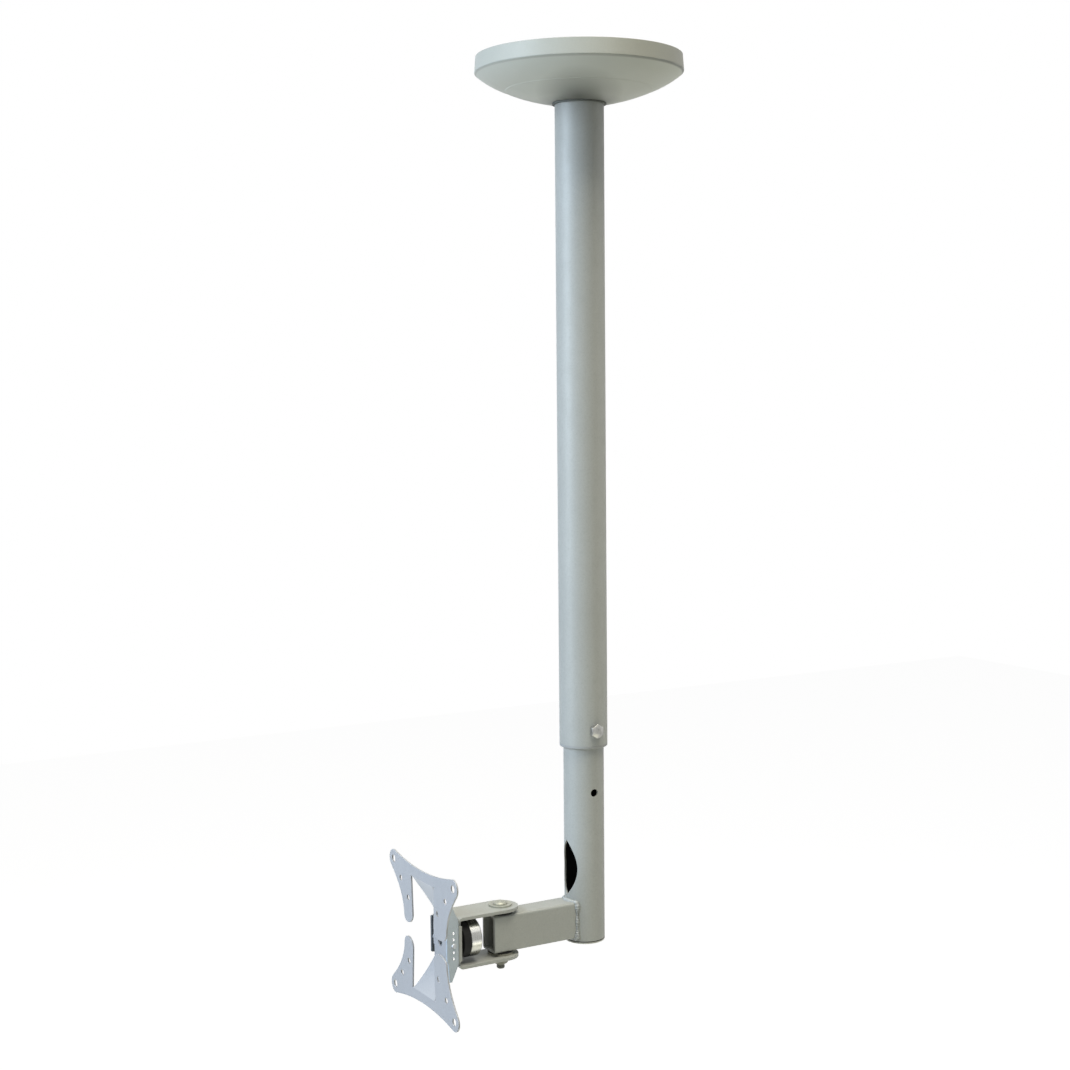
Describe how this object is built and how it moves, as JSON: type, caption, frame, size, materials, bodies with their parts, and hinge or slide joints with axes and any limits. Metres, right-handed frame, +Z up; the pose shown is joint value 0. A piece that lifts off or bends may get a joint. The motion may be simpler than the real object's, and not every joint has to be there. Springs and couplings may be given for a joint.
{
  "type": "tv ceiling mount",
  "caption": "Ceiling mount for a flat screen: domed cover, telescopic pole with index holes, short arm, fork swivel, roll and tilt head, cross-shaped screen plate.",
  "frame": {"origin": "centre of the ceiling plate's upper face, where it meets the ceiling, on the axis of the pole", "axes": "+Z up along the pole into the ceiling; the arm, the head and the screen plate face -Y; +X is on the side of the height lock bolt"},
  "size_m": [0.1608, 0.2242, 0.7244],
  "materials": {
    "silver_paint": "satin silver-grey powder coat",
    "steel_plate": "satin silver-grey powder coat",
    "cover_plastic": "satin silver-grey",
    "grey_plastic": "satin",
    "black_plastic": "matte",
    "black_rubber": "matte",
    "zinc": "bright zinc plate",
    "bright_steel": "turned, bright"
  },
  "bodies": {
    "ceiling": {"ceiling_plate": "steel_plate", "ceiling_cover": "cover_plastic", "cover_ring": "black_rubber", "outer_tube": "silver_paint", "guide_bush": "grey_plastic", "lock_bolt": "zinc"},
    "drop": {"inner_tube": "silver_paint", "upper_guide": "black_plastic", "tube_cap": "grey_plastic", "arm": "silver_paint", "arm_sleeve": "zinc"},
    "fork": {"clevis": "silver_paint", "swivel_spacers": "black_plastic", "swivel_washer": "zinc", "swivel_bolt": "zinc", "swivel_nut": "zinc"},
    "head": {"roll_bolt": "zinc", "roll_disc": "bright_steel", "friction_washer": "black_plastic", "roll_collar": "zinc", "tilt_bracket": "silver_paint"},
    "screen": {"screen_plate": "silver_paint", "pivot_screws": "zinc"}
  },
  "joints": [
    {"name": "height", "type": "slide", "parent": "ceiling", "child": "drop", "axis": [0, 0, -1], "range_m": [-0.05, 0.35]},
    {"name": "swivel", "type": "hinge", "parent": "drop", "child": "fork", "pos_m": [0, -0.077, -0.6724], "axis": [0, 0, 1], "range_deg": [-90, 90]},
    {"name": "roll", "type": "hinge", "parent": "fork", "child": "head", "pos_m": [0, -0.119, -0.6724], "axis": [0, -1, 0], "continuous": true},
    {"name": "tilt", "type": "hinge", "parent": "head", "child": "screen", "pos_m": [0, -0.1259, -0.6724], "axis": [1, 0, 0], "range_deg": [-10, 10]}
  ]
}
